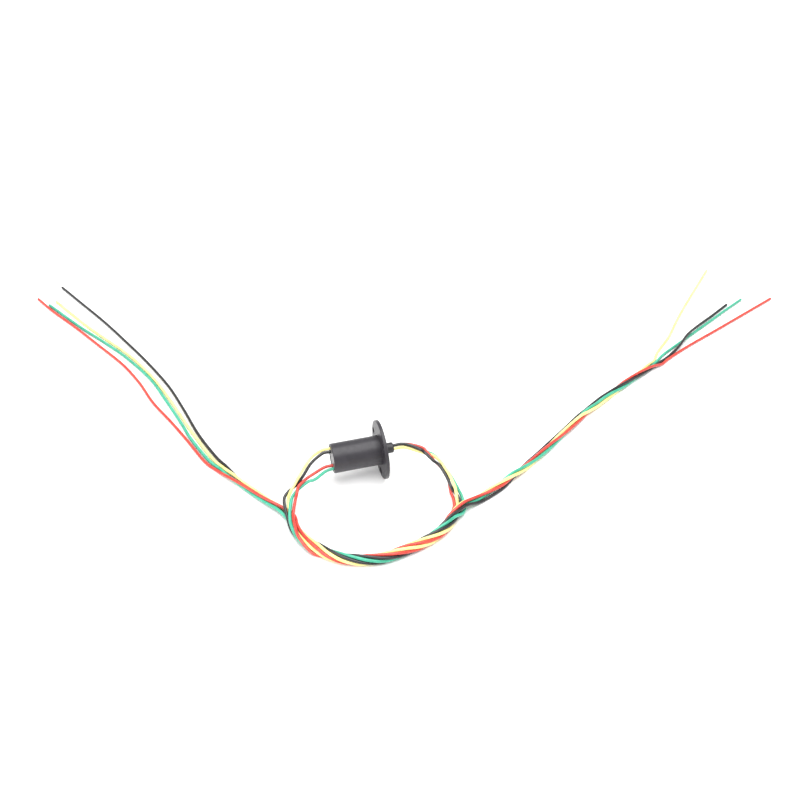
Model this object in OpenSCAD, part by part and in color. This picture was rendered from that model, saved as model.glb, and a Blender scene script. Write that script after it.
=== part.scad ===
// Miniature capsule slip ring with a moulded mounting flange, four circuits.
// The ring's axis lies along X. X = 0 is the flange's seat face, the tail is
// at -X and the rotor's nose at +X. The unit lies on a table at
// Z = -flange_d / 2, on its flange rim and on its own leads.

/* [Housing] */
// Outside diameter of the barrel
body_d = 22; // [20:0.5:26]
// Length of the barrel, from the flange's seat face to the tail
body_l = 35.5; // [32:0.5:45]
// Wall of the barrel
wall = 1.5; // [1.2:0.1:1.8]
// Radius of the rounded tail rim
rim_r = 0.4; // [0.2:0.1:0.6]

/* [Flange] */
// Diameter of the mounting flange
flange_d = 44; // [40:0.5:50]
// Thickness of the mounting flange
flange_t = 2.5; // [2.2:0.1:4]
// Distance from the flange's rim to the middle of a mounting hole
bolt_rim = 4.5; // [4:0.1:5]
// Diameter of a mounting hole
bolt_hole_d = 5.3; // [4:0.1:5.5]
// Number of mounting holes
bolt_count = 3; // [3:1:4]
// Chamfer round both faces of the flange
flange_edge = 0.3; // [0.1:0.1:0.6]
// Wall left in front of the front bearing
front_wall = 1.5; // [1:0.1:2]

/* [Rotor] */
// Diameter of the nose that stands out of the flange
nose_d = 7.9; // [7:0.1:7.9]
// How far the nose stands out of the flange
nose_l = 8; // [4:0.1:12]
// Chamfer at the tip of the nose
nose_edge = 0.6; // [0.2:0.1:0.8]
// Wall of the nose round the wire bore
nose_wall = 1.15; // [1:0.05:1.2]
// Depth of the sealing compound in the nose
nose_seal_l = 2; // [1:0.5:3]

/* [Contact rings] */
// Wall of a contact ring, from the shaft to its outside
ring_wall = 1.5; // [1.3:0.1:1.6]
// Width of a contact ring
ring_w = 2.2; // [2:0.1:2.4]
// Depth of the brush groove in a contact ring
groove_depth = 0.5; // [0.3:0.1:0.6]
// How far a barrier stands out past the contact rings
barrier_rise = 1; // [0.7:0.1:1.1]

/* [Brushes] */
// Diameter of a brush wire
brush_d = 0.5; // [0.3:0.1:0.6]
// How far a brush wire reaches past the axis
brush_over = 1.5; // [1:0.1:2.5]
// How far a brush block reaches past each end of the ring stack
block_over = 0.6; // [0.2:0.1:0.8]
// Diameter of a terminal pin
pin_d = 0.8; // [0.5:0.1:1]

/* [Bearings] */
// Outside diameter of the front bearing
front_od = 16; // [15:0.5:17]
// Bore of the front bearing
front_id = 8; // [8:0.1:8.4]
// Width of the front bearing
front_w = 5; // [4:0.5:5]
// Diameter of a front ball
front_ball_d = 2; // [1.8:0.1:2.1]
// Outside diameter of the rear bearing
rear_od = 10; // [9.5:0.5:11]
// Bore of the rear bearing
rear_id = 5; // [4.5:0.1:5]
// Width of the rear bearing
rear_w = 4; // [3:0.5:4]
// Diameter of a rear ball
rear_ball_d = 1.3; // [1.2:0.1:1.4]

/* [Tail] */
// Thickness of the tail cap
cap_t = 2; // [1.5:0.1:2.5]
// How deep the tail cap sits inside the barrel
cap_recess = 0.4; // [0.2:0.1:0.8]
// Thickness of the sealing compound behind the tail cap
potting_t = 3; // [2:0.5:3]
// Wall left between a lead exit and the rim of the tail cap
exit_wall = 0.65; // [0.5:0.05:1]
// How far a lead seal stands proud of the tail cap
seal_proud = 0.3; // [0.1:0.1:0.4]

/* [Leads] */
// Outside diameter of a lead
lead_d = 2.3; // [1.8:0.1:2.4]

/* [Hidden] */
$fn = 64;

RED = [0.80, 0.20, 0.15];
YELLOW = [0.96, 0.90, 0.50];
GREEN = [0.30, 0.72, 0.55];
BLACK = [0.06, 0.06, 0.07];
PLASTIC = [0.13, 0.12, 0.14];
GOLD = [0.85, 0.66, 0.30];
STEEL = [0.72, 0.73, 0.75];

CIRCUITS = 4;
fit_gap = 0.03;        // a seated piece in its seat
run_gap = 0.05;        // a ball in its race, a brush on its ring
turn_gap = 0.5;        // a turning piece beside a still one
cut = 1;               // overshoot of a cut past a face
bore_d = body_d - 2 * wall;
table_z = -flange_d / 2;

// Stations along the axis, from the flange back to the tail
front_x = flange_t - front_wall;          // front face of the front bearing
front_collar_l = 1.6;                     // shaft collar by the front bearing
rear_collar_l = 1.7;                      // shaft collar by the rear bearing
cap_x = -body_l + cap_recess;             // outer face of the tail cap
potting_x = cap_x + cap_t;                // outer face of the compound
plate_x = potting_x + potting_t;          // outer face of the bearing plate
rear_x = plate_x + rear_w;                // inner face of the rear bearing
stack_front = front_x - front_w - front_collar_l;
stack_back = rear_x + rear_collar_l;      // ends of the ring stack
stack_l = stack_front - stack_back;
barrier_w = (stack_l - CIRCUITS * ring_w) / (CIRCUITS + 1);
nose_x = flange_t + nose_l;               // tip of the nose
front_pitch_d = (front_od + front_id) / 2;
rear_pitch_d = (rear_od + rear_id) / 2;
plate_t = rear_w;
plate_neck = 0.8;                         // wall round the rear bearing

// Distances out from the axis
ring_d = body_d / 2;                      // outside of a contact ring
core_d = ring_d - 2 * ring_wall;          // seat of the rings and barriers
barrier_d = ring_d + 2 * barrier_rise;
block_inner = barrier_d / 2 + turn_gap;   // inner face of a brush block
wire_bore_d = nose_d - 2 * nose_wall;
bolt_circle_d = flange_d - 2 * bolt_rim;

function ring_x(i) = stack_front - barrier_w - ring_w / 2
    - i * (ring_w + barrier_w);
function tail_angle(i) = 45 + 90 * i;

// Turns a shape drawn along Z so that it stands along X at station x
module at_x(x) translate([x, 0, 0]) rotate([0, 90, 0]) children();
// Turns its children about the ring's axis, by an angle from Y towards Z
module about_axis(angle) rotate([angle, 0, 0]) children();
module rod_x(x0, x1, d) at_x(x0) cylinder(d = d, h = x1 - x0);
module pipe_x(x0, x1, d_out, d_in) difference() {
    rod_x(x0, x1, d_out);
    rod_x(x0 - cut, x1 + cut, d_in);
}

// ---- Stator ----

// Barrel and flange profile, as [radius, x] points turned about the axis
module housing_profile() polygon([
    [bore_d / 2, -body_l],
    [body_d / 2 - rim_r, -body_l],
    [body_d / 2, -body_l + rim_r],
    [body_d / 2, 0],
    [flange_d / 2 - flange_edge, 0],
    [flange_d / 2, flange_edge],
    [flange_d / 2, flange_t - flange_edge],
    [flange_d / 2 - flange_edge, flange_t],
    [nose_d / 2 + turn_gap, flange_t],
    [nose_d / 2 + turn_gap, front_x],
    [front_od / 2 + fit_gap, front_x],
    [front_od / 2 + fit_gap, front_x - front_w],
    [bore_d / 2, front_x - front_w]
]);

// First mounting hole, as an angle from Y towards Z
first_hole = 15;

module housing() color(PLASTIC) difference() {
    rotate([0, 90, 0]) rotate_extrude($fn = 128) housing_profile();
    for (i = [0:bolt_count - 1])
        about_axis(first_hole + i * 360 / bolt_count)
            translate([0, bolt_circle_d / 2, 0])
                rod_x(-cut, flange_t + cut, bolt_hole_d);
}

// The two lead exits lie on opposite sides of the axis
upper_exit = 45;
lower_exit = 225;
lead_pitch = lead_d + 0.2;                // between the leads of a pair
slot_w = lead_d + 0.5;
exit_r = bore_d / 2 - exit_wall - (slot_w + lead_pitch) / 2;

// Rounded slot for one pair of leads, in line with the radius
module exit_slot(angle, x0, x1, grow = 0) about_axis(angle) {
    for (side = [-1, 1])
        translate([0, exit_r + side * lead_pitch / 2, 0])
            rod_x(x0, x1, slot_w + 2 * grow);
    translate([x0, exit_r - lead_pitch / 2, -slot_w / 2 - grow])
        cube([x1 - x0, lead_pitch, slot_w + 2 * grow]);
}

module tail_cap() color([0.30, 0.30, 0.31]) difference() {
    rod_x(cap_x, potting_x, bore_d - 2 * fit_gap);
    for (angle = [upper_exit, lower_exit])
        exit_slot(angle, cap_x - cut, potting_x + cut);
}

module lead_seal(angle) color([0.22, 0.22, 0.23])
    exit_slot(angle, cap_x - seal_proud, potting_x, -fit_gap);

module tail_potting() color([0.35, 0.33, 0.30]) difference() {
    rod_x(potting_x, plate_x, bore_d - 2 * fit_gap);
    for (side = [0, 180])
        terminal_pair(side, pin_d + 2 * fit_gap);
}

pin_r = (block_inner + bore_d / 2) / 2;   // from the axis to a terminal pin
pin_gap = 4;                              // between the pins of a block
pin_bury = 1;                             // compound over a pin's outer end
pin_in = 3;                               // reach of a pin into its block
block_x0 = stack_back - block_over;
block_l = stack_l + 2 * block_over;

module terminal_pair(angle, d) about_axis(angle)
    for (side = [-1, 1])
        translate([0, side * pin_gap / 2, pin_r])
            rod_x(potting_x + pin_bury, block_x0 + pin_in, d);

module terminals(angle) color(GOLD) terminal_pair(angle, pin_d);

// Disc that carries the rear bearing, with a window over each brush block
window_w = pin_gap + 3;
module bearing_plate() color([0.18, 0.17, 0.19]) difference() {
    rod_x(plate_x, plate_x + plate_t, bore_d - 2 * fit_gap);
    rod_x(plate_x - cut, rear_x + cut, rear_od + 2 * fit_gap);
    for (angle = [0, 180])
        about_axis(angle)
            translate([plate_x - cut, -window_w / 2, rear_od / 2 + plate_neck])
                cube([plate_t + 2 * cut, window_w, bore_d]);
}

// Chord-shaped strip along the bore wall that holds two brushes
module brush_block(angle, first) color([0.20, 0.42, 0.28])
    about_axis(angle) difference() {
        intersection() {
            rod_x(block_x0, block_x0 + block_l, bore_d - 2 * fit_gap);
            translate([block_x0, -bore_d / 2, block_inner])
                cube([block_l, bore_d, bore_d]);
        }
        for (i = [first, first + 2])
            brush_legs(i, brush_d + 2 * fit_gap, cut);
        for (side = [-1, 1])
            translate([0, side * pin_gap / 2, pin_r])
                rod_x(block_x0 - cut, block_x0 + pin_in, pin_d + 2 * fit_gap);
    }

// Two spring wires that run down both sides of one ring, in its groove
brush_y = ring_d / 2 - groove_depth + brush_d / 2 + run_gap;
leg_top = sqrt(pow(bore_d / 2 - fit_gap, 2) - pow(brush_y + brush_d, 2));
module brush_legs(i, d, past = 0) for (side = [-1, 1])
    translate([ring_x(i), side * brush_y, -brush_over])
        cylinder(d = d, h = brush_over + leg_top + past, $fn = 24);

module brush(i) color(GOLD) about_axis(i % 2 == 0 ? 0 : 180)
    brush_legs(i, brush_d);

// ---- Bearings ----

// Race ring between two diameters with a ball groove in its free side
module race(x0, w, d_out, d_in, pitch_d, ball_d) color(STEEL) difference() {
    pipe_x(x0, x0 + w, d_out, d_in);
    at_x(x0 + w / 2) rotate_extrude()
        translate([pitch_d / 2, 0]) circle(d = ball_d + 2 * run_gap, $fn = 32);
}

function inner_race_d(pitch_d, ball_d) = pitch_d - 0.7 * ball_d;
function outer_race_d(pitch_d, ball_d) = pitch_d + 0.7 * ball_d;

module balls(x, pitch_d, ball_d, count) color(STEEL)
    for (i = [0:count - 1])
        about_axis(i * 360 / count)
            translate([x, pitch_d / 2, 0]) sphere(d = ball_d, $fn = 32);

// Ribbon cage between the races, with a round pocket for each ball
module cage(x, pitch_d, ball_d, count) color([0.60, 0.56, 0.48])
    difference() {
        pipe_x(x - 0.8 * ball_d, x + 0.8 * ball_d,
            pitch_d + 0.4 * ball_d, pitch_d - 0.4 * ball_d);
        for (i = [0:count - 1])
            about_axis(i * 360 / count)
                translate([x, pitch_d / 2 - ball_d, 0])
                    rotate([-90, 0, 0])
                        cylinder(h = 2 * ball_d, d = ball_d + 2 * run_gap, $fn = 32);
    }

FRONT_BALLS = 8;
REAR_BALLS = 7;

module front_outer_race() race(front_x - front_w, front_w, front_od,
    outer_race_d(front_pitch_d, front_ball_d), front_pitch_d, front_ball_d);
module front_inner_race() race(front_x - front_w, front_w,
    inner_race_d(front_pitch_d, front_ball_d), front_id + 2 * fit_gap,
    front_pitch_d, front_ball_d);
module front_balls() balls(front_x - front_w / 2, front_pitch_d,
    front_ball_d, FRONT_BALLS);
module front_cage() cage(front_x - front_w / 2, front_pitch_d,
    front_ball_d, FRONT_BALLS);
module rear_outer_race() race(plate_x, rear_w, rear_od,
    outer_race_d(rear_pitch_d, rear_ball_d), rear_pitch_d, rear_ball_d);
module rear_inner_race() race(plate_x, rear_w,
    inner_race_d(rear_pitch_d, rear_ball_d), rear_id + 2 * fit_gap,
    rear_pitch_d, rear_ball_d);
module rear_balls() balls(plate_x + rear_w / 2, rear_pitch_d,
    rear_ball_d, REAR_BALLS);
module rear_cage() cage(plate_x + rear_w / 2, rear_pitch_d,
    rear_ball_d, REAR_BALLS);

// ---- Rotor ----

neck_d = nose_d - 0.4;                    // relief under the flange wall
nose_root = flange_t + 0.2;
front_collar_d = front_id + 2;            // bears on the front inner race
rear_collar_d = rear_id + 1.2;            // bears on the rear inner race
shaft_back = plate_x + 0.2;               // rear end, just inside its bearing
tail_d = (wire_bore_d - 4 * fit_gap) / (1 + sqrt(2));
tail_r = tail_d / sqrt(2) + fit_gap;      // from the axis to a wire tail
link_d = 0.8;                             // bare end that reaches its ring

// Shaft profile, as [radius, x] points turned about the axis
module shaft_profile() polygon([
    [0, shaft_back],
    [rear_id / 2, shaft_back],
    [rear_id / 2, rear_x + fit_gap],
    [rear_collar_d / 2, rear_x + fit_gap],
    [rear_collar_d / 2, stack_back - fit_gap],
    [core_d / 2, stack_back - fit_gap],
    [core_d / 2, stack_front + fit_gap],
    [front_collar_d / 2, stack_front + fit_gap],
    [front_collar_d / 2, front_x - front_w - fit_gap],
    [front_id / 2, front_x - front_w - fit_gap],
    [front_id / 2, front_x],
    [neck_d / 2, front_x],
    [neck_d / 2, nose_root],
    [nose_d / 2, nose_root],
    [nose_d / 2, nose_x - nose_edge],
    [nose_d / 2 - nose_edge, nose_x],
    [0, nose_x]
]);

module rotor_shaft() color([0.16, 0.15, 0.17]) difference() {
    rotate([0, 90, 0]) rotate_extrude() shaft_profile();
    rod_x(stack_back + barrier_w / 2, nose_x + cut, wire_bore_d);
    for (i = [0:CIRCUITS - 1])
        about_axis(tail_angle(i))
            translate([ring_x(i), tail_r, 0]) rotate([-90, 0, 0])
                cylinder(d = link_d + 2 * fit_gap, h = core_d, $fn = 24);
}

module nose_seal() color([0.10, 0.10, 0.11])
    rod_x(nose_x - nose_seal_l, nose_x, wire_bore_d - 2 * fit_gap);

module contact_ring(i) color(GOLD) at_x(ring_x(i) - ring_w / 2)
    rotate_extrude() polygon([
        [core_d / 2 + fit_gap, fit_gap],
        [ring_d / 2, fit_gap],
        [ring_d / 2, ring_w / 2 - brush_d - run_gap],
        [ring_d / 2 - groove_depth, ring_w / 2 - brush_d / 2],
        [ring_d / 2 - groove_depth, ring_w / 2 + brush_d / 2],
        [ring_d / 2, ring_w / 2 + brush_d + run_gap],
        [ring_d / 2, ring_w - fit_gap],
        [core_d / 2 + fit_gap, ring_w - fit_gap]
    ]);

module barrier(i) color([0.85, 0.83, 0.78])
    pipe_x(stack_front - (i + 1) * barrier_w - i * ring_w,
        stack_front - i * (barrier_w + ring_w),
        barrier_d, core_d + 2 * fit_gap);

// Wire tail inside the rotor, from the nose seal to its own ring
module wire_tail(i, shade) color(shade) about_axis(tail_angle(i)) {
    translate([0, tail_r, 0])
        rod_x(ring_x(i) - link_d, nose_x - nose_seal_l, tail_d);
    translate([ring_x(i), tail_r, 0]) rotate([-90, 0, 0])
        cylinder(d = link_d, h = core_d / 2 - tail_r, $fn = 24);
}

// ---- Free leads ----

// Each bundle of four leads is a row of stations. A station is
// [x, y, height of the bundle's middle above the table, places], where places
// gives each lead's own [sideways, upward] place about the middle. Sideways
// is to the left of the way that the bundle runs.
bundle_gap = 0.15;                        // between two leads of a bundle
pitch = lead_d + bundle_gap;
function polar(r, angle) = r * [cos(angle), sin(angle)];

// Four leads in a square, in the order that they have round it
square_r = pitch / sqrt(2);
function square(turns) = [for (t = turns) polar(square_r, t)];
// Three leads in a triangle, with the black one beside them
three_r = 1.04 * pitch / sqrt(3);
beside = three_r + pitch - 0.15;
function three(turn, black) = let (c = polar(-beside / 4, black)) [
    c + polar(three_r, turn),
    c + polar(three_r, turn - 240),
    polar(beside * 3 / 4, black),
    c + polar(three_r, turn - 120)
];

// In front of the housing the eight leads lie twisted into one rope, seven
// round one. Each lead's place in the rope is [distance, angle].
rope_r = pitch / (2 * sin(180 / 7));
rope_low = rope_r + lead_d / 2 + 0.1;     // a rope that lies on the table
slot = 360 / 7;
YELLOW_IN = [[rope_r, -slot], [rope_r, 0], [rope_r, slot], [0, 0]];
RED_LIFTS = [[1.6 * rope_r, -0.8 * slot], [1.15 * rope_r, 0.1 * slot],
    [rope_r, slot], [0.61 * rope_r, -0.9 * slot]];
RED_OUT = [[1.66 * rope_r, -0.4 * slot], [0.92 * rope_r, 0.17 * slot],
    [1.05 * rope_r, 1.12 * slot], [1.03 * rope_r, -1.03 * slot]];
RED_DROPS = [[1.06 * rope_r, 0], [0.05 * rope_r, 0.1 * slot],
    [rope_r, slot], [1.04 * rope_r, -1.04 * slot]];
GREEN_IN = [[rope_r, 0], [0, 0], [rope_r, slot], [rope_r, -slot]];
ROTOR_SLOTS = [[rope_r, 2 * slot], [rope_r, 4 * slot], [rope_r, 3 * slot],
    [rope_r, 5 * slot]];

// Stations of the rope: [x, y, twist, places of the stator's leads]
ROPE = [
    [-73, -32, 100, YELLOW_IN], [-72, -44, 140, YELLOW_IN],
    [-68, -55, 180, RED_LIFTS], [-61, -65, 225, RED_OUT],
    [-54, -73, 270, RED_DROPS], [-46, -79, 315, GREEN_IN],
    [-37, -83, 360, GREEN_IN], [-29, -85, 400, GREEN_IN],
    [-20, -86, 440, GREEN_IN], [-11, -85, 485, GREEN_IN],
    [-2, -83, 530, GREEN_IN], [7, -81, 575, GREEN_IN],
    [16, -78, 620, GREEN_IN], [24, -74, 665, GREEN_IN],
    [31, -69, 710, GREEN_IN], [37, -63, 755, GREEN_IN]
];

// Station of one bundle in the rope; way is 1 for the stator's leads, which
// run to the right there, and -1 for the rotor's, which run to the left
function roped(i, way) = let (w = ROPE[i]) [
    w[0], w[1], rope_low,
    [for (p = way > 0 ? w[3] : ROTOR_SLOTS)
        let (q = polar(p[0], w[2] + p[1])) [way * q[0], q[1]]]
];

// From the tail into the rope, and from the rope to the right; each row of
// places is for the red, green, black and yellow lead
STATOR_RUN = concat(
    [
        [-58, -8.5, 16.5, [[0.9, -1.7], [2.4, -4], [-0.6, 1.3], [-1.5, 4.5]]],
        [-64, -12.5, 13.5, [[1.6, 0.6], [1.7, -2], [-1.5, -0.6], [-1.5, 1.9]]],
        [-68, -17, 11.8, [[3.4, 1], [0.9, -0.9], [-3.7, -0.1], [-1.3, 1.6]]],
        [-71, -21.5, 9.5, [[3.6, -0.4], [0.9, 0.4], [-4.3, 0.4], [-1.6, -0.4]]]
    ],
    [for (i = [0:len(ROPE) - 1]) roped(i, 1)],
    [
        [43, -57.5, 5.5, [[0.5, 1.6], [-0.3, -1.4], [-1.9, 0.9], [2.2, -0.3]]],
        [50, -53.5, 5.6, [[0.3, 1.6], [0, -1.5], [-2.2, 0], [2, -0.1]]],
        [61, -49, 2.6, three(90, 200)], [73, -44.5, 3, three(150, 215)],
        [83, -40, 3.4, three(210, 235)], [92, -35, 3.9, three(270, 270)],
        [101, -29.5, 3.3, three(330, 310)], [112, -22.5, 2.4, three(375, 335)],
        [122, -16, 2.4, three(410, 335)], [133, -8.5, 2.4, three(450, 335)],
        [150, 3, 2.4, three(510, 335)], [167, 15, 2.4, three(570, 335)],
        [176, 20.5, 2.4, three(630, 335)], [186, 26, 2.6, three(680, 345)],
        [194.5, 30.5, 3, [[0.5, -1.6], [-0.5, 1.5], [2.4, 0.1], [-2, -0.6]]],
        [203, 35, 3, square([-55, 125, 35, 215])],
        [212, 39.7, 3, square([-10, 170, 80, 260])],
        [221, 44.5, 3, square([30, 210, 120, 300])],
        [232, 50, 3, square([68, 248, 158, 338])],
        [242, 55, 3, square([106, 286, 196, 376])],
        [251, 59.5, 2.7, [[-2, 1.5], [1.3, -1.3], [-1.3, -1.3], [2, 1.5]]],
        [261, 65, 1.3, [[-3.9, 0.1], [1.3, 0], [-1.3, 0], [3.9, 0.1]]]
    ]
);
// From the nose into the rope, and from the rope to the left; each row of
// places is for the green, yellow, black and red lead
ROTOR_RUN = concat(
    [
        [22, -2, 22, square([-75, 195, 105, 15])],
        [30, -7, 21, square([-45, 225, 135, 45])],
        [33, -10, 20.2, [polar(1.45 * pitch, -37), polar(0.6 * pitch, -80),
            polar(1.45 * pitch, 143), polar(0.6 * pitch, 100)]],
        [36, -13, 19, [polar(1.65 * pitch, -30), polar(0.62 * pitch, -30),
            polar(1.65 * pitch, 150), polar(0.62 * pitch, 150)]],
        [38.5, -17, 17.6, [polar(1.35 * pitch, -25), polar(0.6 * pitch, 25),
            polar(1.35 * pitch, 155), polar(0.6 * pitch, 205)]],
        [41, -21, 16, square([-20, 70, 160, 250])],
        [44, -30, 12.5, square([-10, 80, 170, 260])],
        [45.5, -37, 8.5, [[2.3, 0.3], [0.3, 1.9], [-1.8, 0.5], [-1.9, -2]]],
        [46, -41, 6.3, [[2.9, 0.1], [0, 2.1], [-0.5, -0.5], [-2.7, -1.9]]],
        [46.4, -45, 4.3, [[3.5, -0.4], [-0.9, 1.9], [0.9, -0.6], [-2.8, -1.2]]],
        [46, -51, 1.6, [[3.8, 0.3], [-1.2, 0], [1.25, -0.1], [-3.6, 0]]],
        [42.5, -57, 1.25, [[4.3, 1.5], [-1.2, 0], [1.2, 0], [-3.5, 0]]]
    ],
    [for (i = [len(ROPE) - 1:-1:0]) roped(i, -1)],
    [
        [-78, -22, 3.6, [[2.2, 0], [-2.9, -2.3], [0.5, -1.9], [-1.5, 0]]],
        [-85, -13, 3, square([0, 180, 270, 90])],
        [-92, -3, 3, square([-25, 155, 245, 65])],
        [-100, 9, 3, square([-45, 135, 225, 45])],
        [-107, 21, 2.5, [[1.3, -1.2], [-1.3, 0.9], [-2.8, -1.2], [2.8, 0.9]]],
        [-113.5, 33, 1.3, [[1.3, 0], [-1.3, 0], [-3.9, 0], [3.9, 0]]]
    ]
);
// First points of each stator lead outside its exit, as [x, y, height]
STATOR_HEADS = [
    [[-42, -3.5, 18], [-50, -5.5, 15.8]],
    [[-42, -6, 16], [-50, -8.5, 12.8]],
    [[-42, 3, 25.5], [-51, -1.5, 22.6]],
    [[-42, 5, 27], [-51, 0, 26]]
];
// Last stretch of each lead by itself on the table, as [x, y] points, or
// [x, y, height] where it lies over another one
STATOR_TIPS = [
    [[272, 67], [297, 79], [335, 95], [370, 110], [405, 125]],
    [[271, 74], [297, 88], [331, 106], [354, 118.5], [378, 131]],
    [[274, 70.5], [288, 79, 3.2], [302, 91, 4.2], [320, 103, 2.8],
     [340, 115], [361, 127]],
    [[267, 78], [287, 96], [304, 115], [322, 134], [347, 159], [372, 184]]
];
ROTOR_TIPS = [
    [[-122, 45], [-132, 72], [-138, 94], [-147, 125], [-157, 156],
     [-175, 192], [-193.5, 221], [-211, 247], [-237.5, 290]],
    [[-119, 46], [-129, 75], [-135, 95], [-144, 126], [-155, 158],
     [-171, 192], [-189, 221], [-206.5, 249], [-231.5, 294]],
    [[-116, 47], [-126, 76], [-134, 109], [-143, 142],
     [-157, 178], [-170.5, 208], [-189.5, 248], [-208.5, 284], [-226, 317]],
    [[-125, 44], [-135.5, 72], [-145, 96], [-157, 124],
     [-166, 153], [-178, 182], [-196.5, 215], [-215.5, 248], [-234, 278],
     [-247.5, 303]]
];

RINGS = 78;                               // rings along each lead's tube
SIDES = 8;
STEPS = 6;                                // spline steps between stations

function unit(v) = v / norm(v);
function knot(p0, p1, p2, p3, t) = 0.5 * (2 * p1 + (p2 - p0) * t
    + (2 * p0 - 5 * p1 + 4 * p2 - p3) * t * t
    + (3 * p1 - p0 - 3 * p2 + p3) * t * t * t);
function spline(p) = let (n = len(p) - 1) concat(
    [for (i = [0:n - 1]) for (j = [0:STEPS - 1])
        knot(p[max(i - 1, 0)], p[i], p[i + 1], p[min(i + 2, n)], j / STEPS)],
    [p[n]]);

// Place of lead k at station i of a bundle
function in_bundle(run, i, k) = let (
    a = run[max(i - 1, 0)],
    b = run[min(i + 1, len(run) - 1)],
    side = unit([a[1] - b[1], b[0] - a[0], 0]),
    up = unit(cross([b[0] - a[0], b[1] - a[1], b[2] - a[2]], side)),
    place = run[i][3][k]
) [run[i][0], run[i][1], table_z + run[i][2]] + place[0] * side + place[1] * up;
table_gap = 0.05;                         // under a lead that lies by itself
function on_table(p) = [p[0], p[1],
    table_z + (len(p) > 2 ? p[2] : lead_d / 2 + table_gap)];

// Points at equal steps of length along a dense line of points
function lengths(p) = [for (i = 0, s = 0; i < len(p);
    s = s + (i < len(p) - 1 ? norm(p[i + 1] - p[i]) : 0), i = i + 1) s];
function even(p, count) = let (
    s = lengths(p),
    last = s[len(s) - 1],
    axes = [for (a = [0:2]) [for (i = [0:len(p) - 1]) [s[i], p[i][a]]]]
) [for (j = [0:count - 1]) [for (a = [0:2])
    lookup(last * j / (count - 1), axes[a])]];

// Tube of SIDES flats swept along a line of points, flat at both ends
module tube(p, d) {
    n = len(p);
    points = [for (i = [0:n - 1])
        let (
            t = unit(p[min(i + 1, n - 1)] - p[max(i - 1, 0)]),
            u = unit(cross(t, [0, 0, 1])),
            v = cross(u, t)
        )
        for (j = [0:SIDES - 1])
            let (a = 360 * (j + 0.5) / SIDES)
            p[i] + d / 2 * (cos(a) * u + sin(a) * v)];
    walls = [for (i = [0:n - 2]) for (j = [0:SIDES - 1]) each let (
        a = i * SIDES + j,
        b = i * SIDES + (j + 1) % SIDES
    ) [[a, b, b + SIDES], [a, b + SIDES, a + SIDES]]];
    near_end = [for (j = [1:SIDES - 2]) [0, j + 1, j]];
    far = (n - 1) * SIDES;
    far_end = [for (j = [1:SIDES - 2]) [far, far + j, far + j + 1]];
    polyhedron(points, concat(walls, near_end, far_end));
}

// Leads of the stator bundle in order: red, green, black, yellow. Each leaves
// one of the two exits, nearer to the axis (-1) or farther from it (1).
STATOR_EXIT = [lower_exit, lower_exit, upper_exit, upper_exit];
EXIT_STEP = [-1, 1, -1, 1];
first_step = 1.5;                         // straight out of a seal
function stator_start(k, out) = let (
    r = exit_r + EXIT_STEP[k] * lead_pitch / 2
) [cap_x - seal_proud - fit_gap - out, r * cos(STATOR_EXIT[k]),
    r * sin(STATOR_EXIT[k])];

// Leads of the rotor bundle in order: green, yellow, black, red
nose_gap = 0.3;                           // between the nose seal and a lead
lead_out = 6;                             // straight run out of the nose
NOSE_TURNS = [-90, 180, 90, 0];
function rotor_start(k, out) = let (place = square(NOSE_TURNS)[k])
    [nose_x + nose_gap + out, place[0], place[1]];

function stator_route(k) = concat([stator_start(k, 0)], even(spline(concat(
    [stator_start(k, first_step)],
    [for (p = STATOR_HEADS[k]) [p[0], p[1], table_z + p[2]]],
    [for (i = [0:len(STATOR_RUN) - 1]) in_bundle(STATOR_RUN, i, k)],
    [for (p = STATOR_TIPS[k]) on_table(p)])), RINGS));
function rotor_route(k) = concat([rotor_start(k, 0)], even(spline(concat(
    [rotor_start(k, first_step), rotor_start(k, lead_out)],
    [for (i = [0:len(ROTOR_RUN) - 1]) in_bundle(ROTOR_RUN, i, k)],
    [for (p = ROTOR_TIPS[k]) on_table(p)])), RINGS));

module stator_lead(k, shade) color(shade) tube(stator_route(k), lead_d);
module rotor_lead(k, shade) color(shade) tube(rotor_route(k), lead_d);

// ---- Nodes ----

housing();
tail_cap();
lead_seal(upper_exit);  // upper_lead_seal
lead_seal(lower_exit);  // lower_lead_seal
tail_potting();
bearing_plate();
brush_block(0, 0);  // upper_brush_block
brush_block(180, 1);  // lower_brush_block
terminals(0);  // upper_terminals
terminals(180);  // lower_terminals
brush(0);  // red_brush
brush(1);  // yellow_brush
brush(2);  // green_brush
brush(3);  // black_brush
front_outer_race();
front_inner_race();
front_balls();
front_cage();
rear_outer_race();
rear_inner_race();
rear_balls();
rear_cage();
rotor_shaft();
nose_seal();
contact_ring(0);  // red_ring
contact_ring(1);  // yellow_ring
contact_ring(2);  // green_ring
contact_ring(3);  // black_ring
barrier(0);  // barrier_1
barrier(1);  // barrier_2
barrier(2);  // barrier_3
barrier(3);  // barrier_4
barrier(4);  // barrier_5
wire_tail(0, RED);  // red_tail
wire_tail(1, YELLOW);  // yellow_tail
wire_tail(2, GREEN);  // green_tail
wire_tail(3, BLACK);  // black_tail
stator_lead(0, RED);  // stator_lead_red
stator_lead(3, YELLOW);  // stator_lead_yellow
stator_lead(1, GREEN);  // stator_lead_green
stator_lead(2, BLACK);  // stator_lead_black
rotor_lead(3, RED);  // rotor_lead_red
rotor_lead(1, YELLOW);  // rotor_lead_yellow
rotor_lead(0, GREEN);  // rotor_lead_green
rotor_lead(2, BLACK);  // rotor_lead_black
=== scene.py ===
import math

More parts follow.
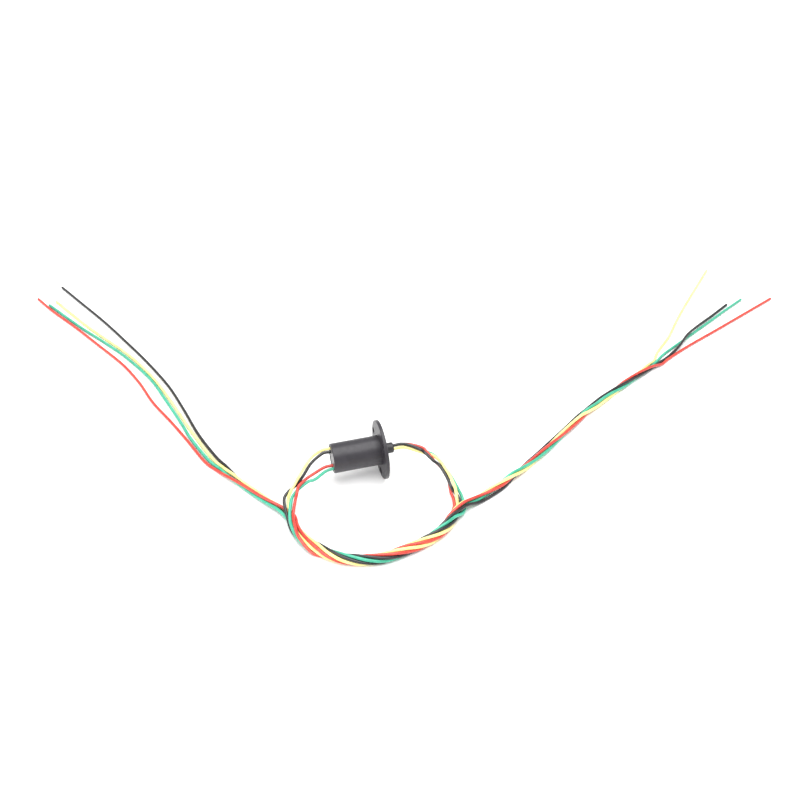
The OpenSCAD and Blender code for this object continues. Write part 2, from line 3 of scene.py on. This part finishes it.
import bpy
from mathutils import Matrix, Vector


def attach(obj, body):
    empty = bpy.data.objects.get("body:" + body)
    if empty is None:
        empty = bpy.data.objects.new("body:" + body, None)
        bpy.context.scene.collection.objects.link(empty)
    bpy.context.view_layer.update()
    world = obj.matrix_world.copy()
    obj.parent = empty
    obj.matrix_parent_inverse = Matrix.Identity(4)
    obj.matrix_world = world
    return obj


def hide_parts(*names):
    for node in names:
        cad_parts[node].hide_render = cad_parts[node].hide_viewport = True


MM = 0.001
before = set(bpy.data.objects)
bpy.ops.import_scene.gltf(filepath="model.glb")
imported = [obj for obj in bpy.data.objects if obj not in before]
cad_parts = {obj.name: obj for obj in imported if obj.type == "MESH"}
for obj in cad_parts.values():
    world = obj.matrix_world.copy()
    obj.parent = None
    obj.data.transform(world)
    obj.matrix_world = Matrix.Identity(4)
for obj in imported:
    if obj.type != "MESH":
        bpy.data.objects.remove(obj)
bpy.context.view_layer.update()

# ---- Sizes of the unit, in millimetres, in the CAD's frame ----
BODY_L = 35.5
FLANGE_D, FLANGE_T = 44.0, 2.5
NOSE_L = 8.0
CAP_X = -BODY_L + 0.4
EXIT_R, UPPER_EXIT, LOWER_EXIT = 6.2, 45.0, 225.0
SEAL_PROUD = 0.3
FIT = 0.03
TABLE_Z = -FLANGE_D / 2
NOSE_X = FLANGE_T + NOSE_L
LEAD_D = 2.3
EXIT_PITCH = LEAD_D + 0.2  # between the two leads of one exit
NOSE_GAP = 0.3  # between the nose seal and a lead
FIRST_STEP = 1.5  # straight out of a seal
LEAD_OUT = 6  # straight run out of the nose
TABLE_GAP = 0.05  # under a lead that lies by itself

scene = bpy.context.scene


# ---- Materials ----
def material(name):
    """A new node material, with the small tools that build its shader."""
    mat = bpy.data.materials.new(name)
    mat.use_nodes = True
    nodes, links = mat.node_tree.nodes, mat.node_tree.links
    shader = nodes["Principled BSDF"]
    place = nodes.new("ShaderNodeTexCoord").outputs["Object"]

    def add(kind, **values):
        node = nodes.new(kind)
        for key, value in values.items():
            if hasattr(node, key):
                setattr(node, key, value)
            else:
                node.inputs[key.replace("_", " ")].default_value = value
        return node

    def cloud(scale, detail=3.0, roughness=0.5, stretch=None):
        node = add("ShaderNodeTexNoise", Scale=scale, Detail=detail, Roughness=roughness)
        source = place
        if stretch:
            turn = add("ShaderNodeMapping")
            turn.inputs["Scale"].default_value = stretch
            links.new(place, turn.inputs["Vector"])
            source = turn.outputs["Vector"]
        links.new(source, node.inputs["Vector"])
        return node.outputs["Fac"]

    def ramp(fac, *stops):
        node = add("ShaderNodeValToRGB")
        elements = node.color_ramp.elements
        while len(elements) < len(stops):
            elements.new(0.5)
        for element, (at, colour) in zip(elements, stops):
            element.position = at
            element.color = (*colour, 1) if len(colour) == 3 else colour
        links.new(fac, node.inputs["Fac"])
        return node.outputs["Color"]

    def span(fac, low, high, a, b):
        node = add("ShaderNodeMapRange")
        for key, value in (("From Min", low), ("From Max", high), ("To Min", a), ("To Max", b)):
            node.inputs[key].default_value = value
        links.new(fac, node.inputs["Value"])
        return node.outputs["Result"]

    def bump(height, distance, strength=1.0):
        node = add("ShaderNodeBump", Strength=strength, Distance=distance)
        links.new(height, node.inputs["Height"])
        links.new(node.outputs["Normal"], shader.inputs["Normal"])

    def to(socket, value):
        if isinstance(value, bpy.types.NodeSocket):
            links.new(value, shader.inputs[socket])
        else:
            shader.inputs[socket].default_value = value

    return mat, add, cloud, ramp, span, bump, to, links


def plastic(name, dark, light, rough=(0.35, 0.5), grain=900.0, relief=0.00002, coat=0.0):
    """Moulded plastic: a clouded colour and gloss, with a fine grain of the given relief."""
    mat, add, cloud, ramp, span, bump, to, links = material(name)
    wide = cloud(140.0, 4.0, 0.6)
    fine = cloud(grain, 2.0)
    to("Base Color", ramp(wide, (0.35, dark), (0.65, light)))
    to("Roughness", span(cloud(420.0, 4.0), 0.3, 0.7, *rough))
    to("Specular IOR Level", 0.5)
    to("Coat Weight", coat)
    to("Coat Roughness", 0.12)
    bump(fine, relief)
    return mat


def metal(name, dark, light, rough=(0.15, 0.3)):
    """Bare metal with a slightly uneven tone and gloss."""
    mat, add, cloud, ramp, span, bump, to, links = material(name)
    to("Metallic", 1.0)
    to("Base Color", ramp(cloud(260.0, 4.0), (0.35, dark), (0.65, light)))
    to("Roughness", span(cloud(900.0, 3.0), 0.3, 0.7, *rough))
    bump(cloud(2500.0, 2.0), 0.000004)
    return mat


def insulation(colour, dark, light, rough=(0.22, 0.34)):
    """The glossy soft plastic of a lead."""
    return plastic(colour + "_insulation", dark, light, rough, 500.0, 0.00003, 0.25)


HOUSING = plastic(
    "housing_plastic", (0.019, 0.017, 0.022), (0.027, 0.024, 0.031), (0.36, 0.46), 1500.0
)
CAP = plastic("cap_plastic", (0.15, 0.15, 0.155), (0.20, 0.20, 0.205), (0.4, 0.55))
ROTOR = plastic("rotor_plastic", (0.016, 0.015, 0.018), (0.026, 0.025, 0.029), (0.35, 0.5))
SEAL = plastic(
    "sealing_compound", (0.05, 0.05, 0.052), (0.11, 0.11, 0.112), (0.25, 0.4), 600.0, 0.00006
)
INNER = plastic("inner_plastic", (0.05, 0.05, 0.055), (0.08, 0.08, 0.085))
BOARD = plastic("brush_board", (0.03, 0.12, 0.06), (0.05, 0.18, 0.09), (0.3, 0.4))
BARRIER = plastic("barrier_plastic", (0.5, 0.48, 0.42), (0.6, 0.58, 0.52))
GOLD = metal("gold_plate", (0.75, 0.52, 0.18), (0.86, 0.65, 0.27))
STEEL = metal("bearing_steel", (0.55, 0.56, 0.58), (0.68, 0.69, 0.71))
CAGE = metal("cage_metal", (0.48, 0.38, 0.2), (0.6, 0.5, 0.3), (0.3, 0.45))
LEAD = {
    "red": insulation("red", (0.52, 0.035, 0.025), (0.64, 0.06, 0.035)),
    "yellow": insulation("yellow", (0.86, 0.76, 0.24), (0.93, 0.84, 0.34), (0.24, 0.36)),
    "green": insulation("green", (0.035, 0.36, 0.22), (0.06, 0.46, 0.30)),
    "black": insulation("black", (0.008, 0.008, 0.009), (0.016, 0.016, 0.018), (0.22, 0.32)),
}
# The look of each piece that is shown as the CAD has it
NODE_LOOK = {
    "housing": HOUSING, "tail_cap": CAP, "upper_lead_seal": SEAL, "lower_lead_seal": SEAL,
    "tail_potting": SEAL, "bearing_plate": INNER,
    "upper_brush_block": BOARD, "lower_brush_block": BOARD,
    "upper_terminals": GOLD, "lower_terminals": GOLD, "rotor_shaft": ROTOR, "nose_seal": SEAL,
    "front_outer_race": STEEL, "front_inner_race": STEEL, "front_balls": STEEL, "front_cage": CAGE,
    "rear_outer_race": STEEL, "rear_inner_race": STEEL, "rear_balls": STEEL, "rear_cage": CAGE,
}
for colour in LEAD:
    NODE_LOOK[colour + "_brush"] = NODE_LOOK[colour + "_ring"] = GOLD
    NODE_LOOK[colour + "_tail"] = LEAD[colour]
for i in range(1, 6):
    NODE_LOOK["barrier_%d" % i] = BARRIER
for name, look in NODE_LOOK.items():
    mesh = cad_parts[name].data
    mesh.materials.clear()
    mesh.materials.append(look)

# ---- Routes of the free leads, as in the CAD ----
# A station of a bundle is [x, y, height of its middle above the table, places],
# where places gives each lead's own (sideways, upward) place about the middle.
# Sideways is to the left of the way that the bundle runs.
BUNDLE_GAP = 0.15
PITCH = LEAD_D + BUNDLE_GAP
SQUARE_R = PITCH / math.sqrt(2)
THREE_R = 1.04 * PITCH / math.sqrt(3)
BESIDE = THREE_R + PITCH - 0.15


def polar(r, angle):
    return (r * math.cos(math.radians(angle)), r * math.sin(math.radians(angle)))


def square(turns):
    """Four leads in a square, each at its own turn."""
    return [polar(SQUARE_R, turn) for turn in turns]


def three(turn, black):
    """Three leads in a triangle, with the black one beside them."""
    cx, cy = polar(-BESIDE / 4, black)
    trio = [(cx + x, cy + y) for x, y in (polar(THREE_R, turn - t) for t in (0, 240, 120))]
    return trio[:2] + [polar(BESIDE * 3 / 4, black), trio[2]]


# In front of the housing all eight leads lie twisted into one rope, seven round
# one. A lead's place in it is [distance, angle]. The order is red, green, black,
# yellow for the stator's leads and green, yellow, black, red for the rotor's.
ROPE_R = PITCH / (2 * math.sin(math.pi / 7))
ROPE_LOW = ROPE_R + LEAD_D / 2 + 0.1
SLOT = 360 / 7
YELLOW_IN = [[ROPE_R, -SLOT], [ROPE_R, 0], [ROPE_R, SLOT], [0, 0]]
RED_LIFTS = [[1.6 * ROPE_R, -0.8 * SLOT], [1.15 * ROPE_R, 0.1 * SLOT],
    [ROPE_R, SLOT], [0.61 * ROPE_R, -0.9 * SLOT]]
RED_OUT = [[1.66 * ROPE_R, -0.4 * SLOT], [0.92 * ROPE_R, 0.17 * SLOT],
    [1.05 * ROPE_R, 1.12 * SLOT], [1.03 * ROPE_R, -1.03 * SLOT]]
RED_DROPS = [[1.06 * ROPE_R, 0], [0.05 * ROPE_R, 0.1 * SLOT],
    [ROPE_R, SLOT], [1.04 * ROPE_R, -1.04 * SLOT]]
GREEN_IN = [[ROPE_R, 0], [0, 0], [ROPE_R, SLOT], [ROPE_R, -SLOT]]
ROTOR_SLOTS = [[ROPE_R, 2 * SLOT], [ROPE_R, 4 * SLOT], [ROPE_R, 3 * SLOT],
    [ROPE_R, 5 * SLOT]]
# Stations of the rope: [x, y, twist, places of the stator's leads]
ROPE = [
    [-73, -32, 100, YELLOW_IN], [-72, -44, 140, YELLOW_IN],
    [-68, -55, 180, RED_LIFTS], [-61, -65, 225, RED_OUT],
    [-54, -73, 270, RED_DROPS], [-46, -79, 315, GREEN_IN],
    [-37, -83, 360, GREEN_IN], [-29, -85, 400, GREEN_IN],
    [-20, -86, 440, GREEN_IN], [-11, -85, 485, GREEN_IN],
    [-2, -83, 530, GREEN_IN], [7, -81, 575, GREEN_IN],
    [16, -78, 620, GREEN_IN], [24, -74, 665, GREEN_IN],
    [31, -69, 710, GREEN_IN], [37, -63, 755, GREEN_IN]
]


def roped(i, way):
    """Station of one bundle in the rope: way is 1 for the stator's leads, -1 for the rotor's."""
    x, y, twist, places = ROPE[i]
    turned = [polar(r, twist + angle) for r, angle in (places if way > 0 else ROTOR_SLOTS)]
    return [x, y, ROPE_LOW, [(way * across, up) for across, up in turned]]


# From the tail into the rope, and from the rope to the right
STATOR_RUN = (
    [
        [-58, -8.5, 16.5, [[0.9, -1.7], [2.4, -4], [-0.6, 1.3], [-1.5, 4.5]]],
        [-64, -12.5, 13.5, [[1.6, 0.6], [1.7, -2], [-1.5, -0.6], [-1.5, 1.9]]],
        [-68, -17, 11.8, [[3.4, 1], [0.9, -0.9], [-3.7, -0.1], [-1.3, 1.6]]],
        [-71, -21.5, 9.5, [[3.6, -0.4], [0.9, 0.4], [-4.3, 0.4], [-1.6, -0.4]]]
    ]
    + [roped(i, 1) for i in range(len(ROPE))]
    + [
        [43, -57.5, 5.5, [[0.5, 1.6], [-0.3, -1.4], [-1.9, 0.9], [2.2, -0.3]]],
        [50, -53.5, 5.6, [[0.3, 1.6], [0, -1.5], [-2.2, 0], [2, -0.1]]],
        [61, -49, 2.6, three(90, 200)], [73, -44.5, 3, three(150, 215)],
        [83, -40, 3.4, three(210, 235)], [92, -35, 3.9, three(270, 270)],
        [101, -29.5, 3.3, three(330, 310)], [112, -22.5, 2.4, three(375, 335)],
        [122, -16, 2.4, three(410, 335)], [133, -8.5, 2.4, three(450, 335)],
        [150, 3, 2.4, three(510, 335)], [167, 15, 2.4, three(570, 335)],
        [176, 20.5, 2.4, three(630, 335)], [186, 26, 2.6, three(680, 345)],
        [194.5, 30.5, 3, [[0.5, -1.6], [-0.5, 1.5], [2.4, 0.1], [-2, -0.6]]],
        [203, 35, 3, square([-55, 125, 35, 215])],
        [212, 39.7, 3, square([-10, 170, 80, 260])],
        [221, 44.5, 3, square([30, 210, 120, 300])],
        [232, 50, 3, square([68, 248, 158, 338])],
        [242, 55, 3, square([106, 286, 196, 376])],
        [251, 59.5, 2.7, [[-2, 1.5], [1.3, -1.3], [-1.3, -1.3], [2, 1.5]]],
        [261, 65, 1.3, [[-3.9, 0.1], [1.3, 0], [-1.3, 0], [3.9, 0.1]]]
    ]
)
# From the nose into the rope, and from the rope to the left
ROTOR_RUN = (
    [
        [22, -2, 22, square([-75, 195, 105, 15])],
        [30, -7, 21, square([-45, 225, 135, 45])],
        [33, -10, 20.2, [polar(1.45 * PITCH, -37), polar(0.6 * PITCH, -80),
            polar(1.45 * PITCH, 143), polar(0.6 * PITCH, 100)]],
        [36, -13, 19, [polar(1.65 * PITCH, -30), polar(0.62 * PITCH, -30),
            polar(1.65 * PITCH, 150), polar(0.62 * PITCH, 150)]],
        [38.5, -17, 17.6, [polar(1.35 * PITCH, -25), polar(0.6 * PITCH, 25),
            polar(1.35 * PITCH, 155), polar(0.6 * PITCH, 205)]],
        [41, -21, 16, square([-20, 70, 160, 250])],
        [44, -30, 12.5, square([-10, 80, 170, 260])],
        [45.5, -37, 8.5, [[2.3, 0.3], [0.3, 1.9], [-1.8, 0.5], [-1.9, -2]]],
        [46, -41, 6.3, [[2.9, 0.1], [0, 2.1], [-0.5, -0.5], [-2.7, -1.9]]],
        [46.4, -45, 4.3, [[3.5, -0.4], [-0.9, 1.9], [0.9, -0.6], [-2.8, -1.2]]],
        [46, -51, 1.6, [[3.8, 0.3], [-1.2, 0], [1.25, -0.1], [-3.6, 0]]],
        [42.5, -57, 1.25, [[4.3, 1.5], [-1.2, 0], [1.2, 0], [-3.5, 0]]]
    ]
    + [roped(i, -1) for i in reversed(range(len(ROPE)))]
    + [
        [-78, -22, 3.6, [[2.2, 0], [-2.9, -2.3], [0.5, -1.9], [-1.5, 0]]],
        [-85, -13, 3, square([0, 180, 270, 90])],
        [-92, -3, 3, square([-25, 155, 245, 65])],
        [-100, 9, 3, square([-45, 135, 225, 45])],
        [-107, 21, 2.5, [[1.3, -1.2], [-1.3, 0.9], [-2.8, -1.2], [2.8, 0.9]]],
        [-113.5, 33, 1.3, [[1.3, 0], [-1.3, 0], [-3.9, 0], [3.9, 0]]]
    ]
)
# First points of each stator lead outside its exit, as [x, y, height]
STATOR_HEADS = [
    [[-42, -3.5, 18], [-50, -5.5, 15.8]],
    [[-42, -6, 16], [-50, -8.5, 12.8]],
    [[-42, 3, 25.5], [-51, -1.5, 22.6]],
    [[-42, 5, 27], [-51, 0, 26]]
]
# Last stretch of each lead by itself on the table, as [x, y] points, or
# [x, y, height] where it lies over another one
STATOR_TIPS = [
    [[272, 67], [297, 79], [335, 95], [370, 110], [405, 125]],
    [[271, 74], [297, 88], [331, 106], [354, 118.5], [378, 131]],
    [[274, 70.5], [288, 79, 3.2], [302, 91, 4.2], [320, 103, 2.8],
     [340, 115], [361, 127]],
    [[267, 78], [287, 96], [304, 115], [322, 134], [347, 159], [372, 184]]
]
ROTOR_TIPS = [
    [[-122, 45], [-132, 72], [-138, 94], [-147, 125], [-157, 156],
     [-175, 192], [-193.5, 221], [-211, 247], [-237.5, 290]],
    [[-119, 46], [-129, 75], [-135, 95], [-144, 126], [-155, 158],
     [-171, 192], [-189, 221], [-206.5, 249], [-231.5, 294]],
    [[-116, 47], [-126, 76], [-134, 109], [-143, 142],
     [-157, 178], [-170.5, 208], [-189.5, 248], [-208.5, 284], [-226, 317]],
    [[-125, 44], [-135.5, 72], [-145, 96], [-157, 124],
     [-166, 153], [-178, 182], [-196.5, 215], [-215.5, 248], [-234, 278],
     [-247.5, 303]]
]


def in_bundle(run, i, k):
    """Point of lead k at station i of its bundle."""
    a, b = run[max(i - 1, 0)], run[min(i + 1, len(run) - 1)]
    side = Vector((a[1] - b[1], b[0] - a[0], 0)).normalized()
    up = Vector((b[0] - a[0], b[1] - a[1], b[2] - a[2])).cross(side).normalized()
    place = run[i][3][k]
    return Vector((run[i][0], run[i][1], TABLE_Z + run[i][2])) + place[0] * side + place[1] * up


def on_table(p):
    """Point of a lead that lies on the table, or at its own height."""
    return Vector((p[0], p[1], TABLE_Z + (p[2] if len(p) > 2 else LEAD_D / 2 + TABLE_GAP)))


def knot(p0, p1, p2, p3, t):
    """Point between p1 and p2 of the smooth line through all four."""
    return 0.5 * (
        2 * p1 + (p2 - p0) * t + (2 * p0 - 5 * p1 + 4 * p2 - p3) * t * t
        + (3 * p1 - p0 - 3 * p2 + p3) * t ** 3
    )


def spline(points, steps=12):
    """Dense smooth line through the points."""
    n = len(points) - 1
    out = []
    for i in range(n):
        a, b = points[max(i - 1, 0)], points[min(i + 2, n)]
        out += [knot(a, points[i], points[i + 1], b, j / steps) for j in range(steps)]
    return out + [points[n]]


def stator_start(k, out):
    """Point of stator lead k at its exit, or the given way out of it."""
    r = EXIT_R + (-1, 1, -1, 1)[k] * EXIT_PITCH / 2
    y, z = polar(r, (LOWER_EXIT, LOWER_EXIT, UPPER_EXIT, UPPER_EXIT)[k])
    return Vector((CAP_X - SEAL_PROUD - FIT - out, y, z))


def rotor_start(k, out):
    """Point of rotor lead k at the nose seal, or the given way out of it."""
    return Vector((NOSE_X + NOSE_GAP + out, *square((-90, 180, 90, 0))[k]))


STATOR_ORDER = ("red", "green", "black", "yellow")
ROTOR_ORDER = ("green", "yellow", "black", "red")
routes = {}
for k, colour in enumerate(STATOR_ORDER):
    routes["stator_lead_" + colour] = [stator_start(k, 0)] + spline(
        [stator_start(k, FIRST_STEP)]
        + [Vector((p[0], p[1], TABLE_Z + p[2])) for p in STATOR_HEADS[k]]
        + [in_bundle(STATOR_RUN, i, k) for i in range(len(STATOR_RUN))]
        + [on_table(p) for p in STATOR_TIPS[k]]
    )
for k, colour in enumerate(ROTOR_ORDER):
    routes["rotor_lead_" + colour] = [rotor_start(k, 0)] + spline(
        [rotor_start(k, FIRST_STEP), rotor_start(k, LEAD_OUT)]
        + [in_bundle(ROTOR_RUN, i, k) for i in range(len(ROTOR_RUN))]
        + [on_table(p) for p in ROTOR_TIPS[k]]
    )


for name, route in routes.items():
    colour = name.rsplit("_", 1)[1]
    curve = bpy.data.curves.new(name + "_line", "CURVE")
    curve.dimensions = "3D"
    curve.bevel_depth = LEAD_D / 2 * MM
    curve.bevel_resolution = 5
    curve.use_fill_caps = True
    line = curve.splines.new("POLY")
    line.points.add(len(route) - 1)
    for point, at in zip(line.points, route):
        point.co = (*(at * MM), 1)
    lead = bpy.data.objects.new(name + "_wire", curve)
    scene.collection.objects.link(lead)
    curve.materials.append(LEAD[colour])
    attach(lead, "stator")
    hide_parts(name)

# ---- Floor, light and camera ----
UNDER_TABLE = 0.00002  # the floor lies this far below the part, in metres
bpy.ops.mesh.primitive_plane_add(size=8, location=(0, 0, TABLE_Z * MM - UNDER_TABLE))
floor = bpy.context.object
floor.name = "floor"
mat, add, cloud, ramp, span, bump, to, links = material("floor_paper")
to("Base Color", ramp(cloud(3.0, 2.0), (0.3, (0.96, 0.96, 0.96)), (0.7, (0.98, 0.98, 0.98))))
to("Roughness", 0.9)
to("Specular IOR Level", 0.0)
floor.data.materials.append(mat)


def area_light(name, at, aim, size, power):
    """A soft rectangular light in metres and watts, turned towards a point."""
    data = bpy.data.lights.new(name, "AREA")
    data.shape = "RECTANGLE"
    data.size, data.size_y = size
    data.energy = power
    lamp = bpy.data.objects.new(name, data)
    scene.collection.objects.link(lamp)
    lamp.location = at
    lamp.rotation_euler = (Vector(aim) - Vector(at)).to_track_quat("-Z", "Y").to_euler()


area_light("top_light", (0.1, 0.0, 1.3), (0.02, 0.0, 0.0), (1.6, 1.2), 22)
area_light("left_light", (-1.2, -0.5, 0.7), (0.0, 0.0, 0.0), (1.0, 0.8), 9)

world = bpy.data.worlds.new("studio")
scene.world = world
world.use_nodes = True
background = world.node_tree.nodes["Background"]
background.inputs["Color"].default_value = (1, 1, 1, 1)
background.inputs["Strength"].default_value = 0.9

camera_data = bpy.data.cameras.new("camera")
camera_data.sensor_width = 36
camera_data.lens = 44.3
camera_data.clip_end = 50
camera = bpy.data.objects.new("camera", camera_data)
scene.collection.objects.link(camera)
camera.location = (-0.1253, -0.5154, 0.4918)
camera.rotation_mode = "QUATERNION"
camera.rotation_quaternion = Vector((0.2025, 0.7393, -0.6422)).to_track_quat("-Z", "Y")
scene.camera = camera
scene.view_settings.view_transform = "Standard"
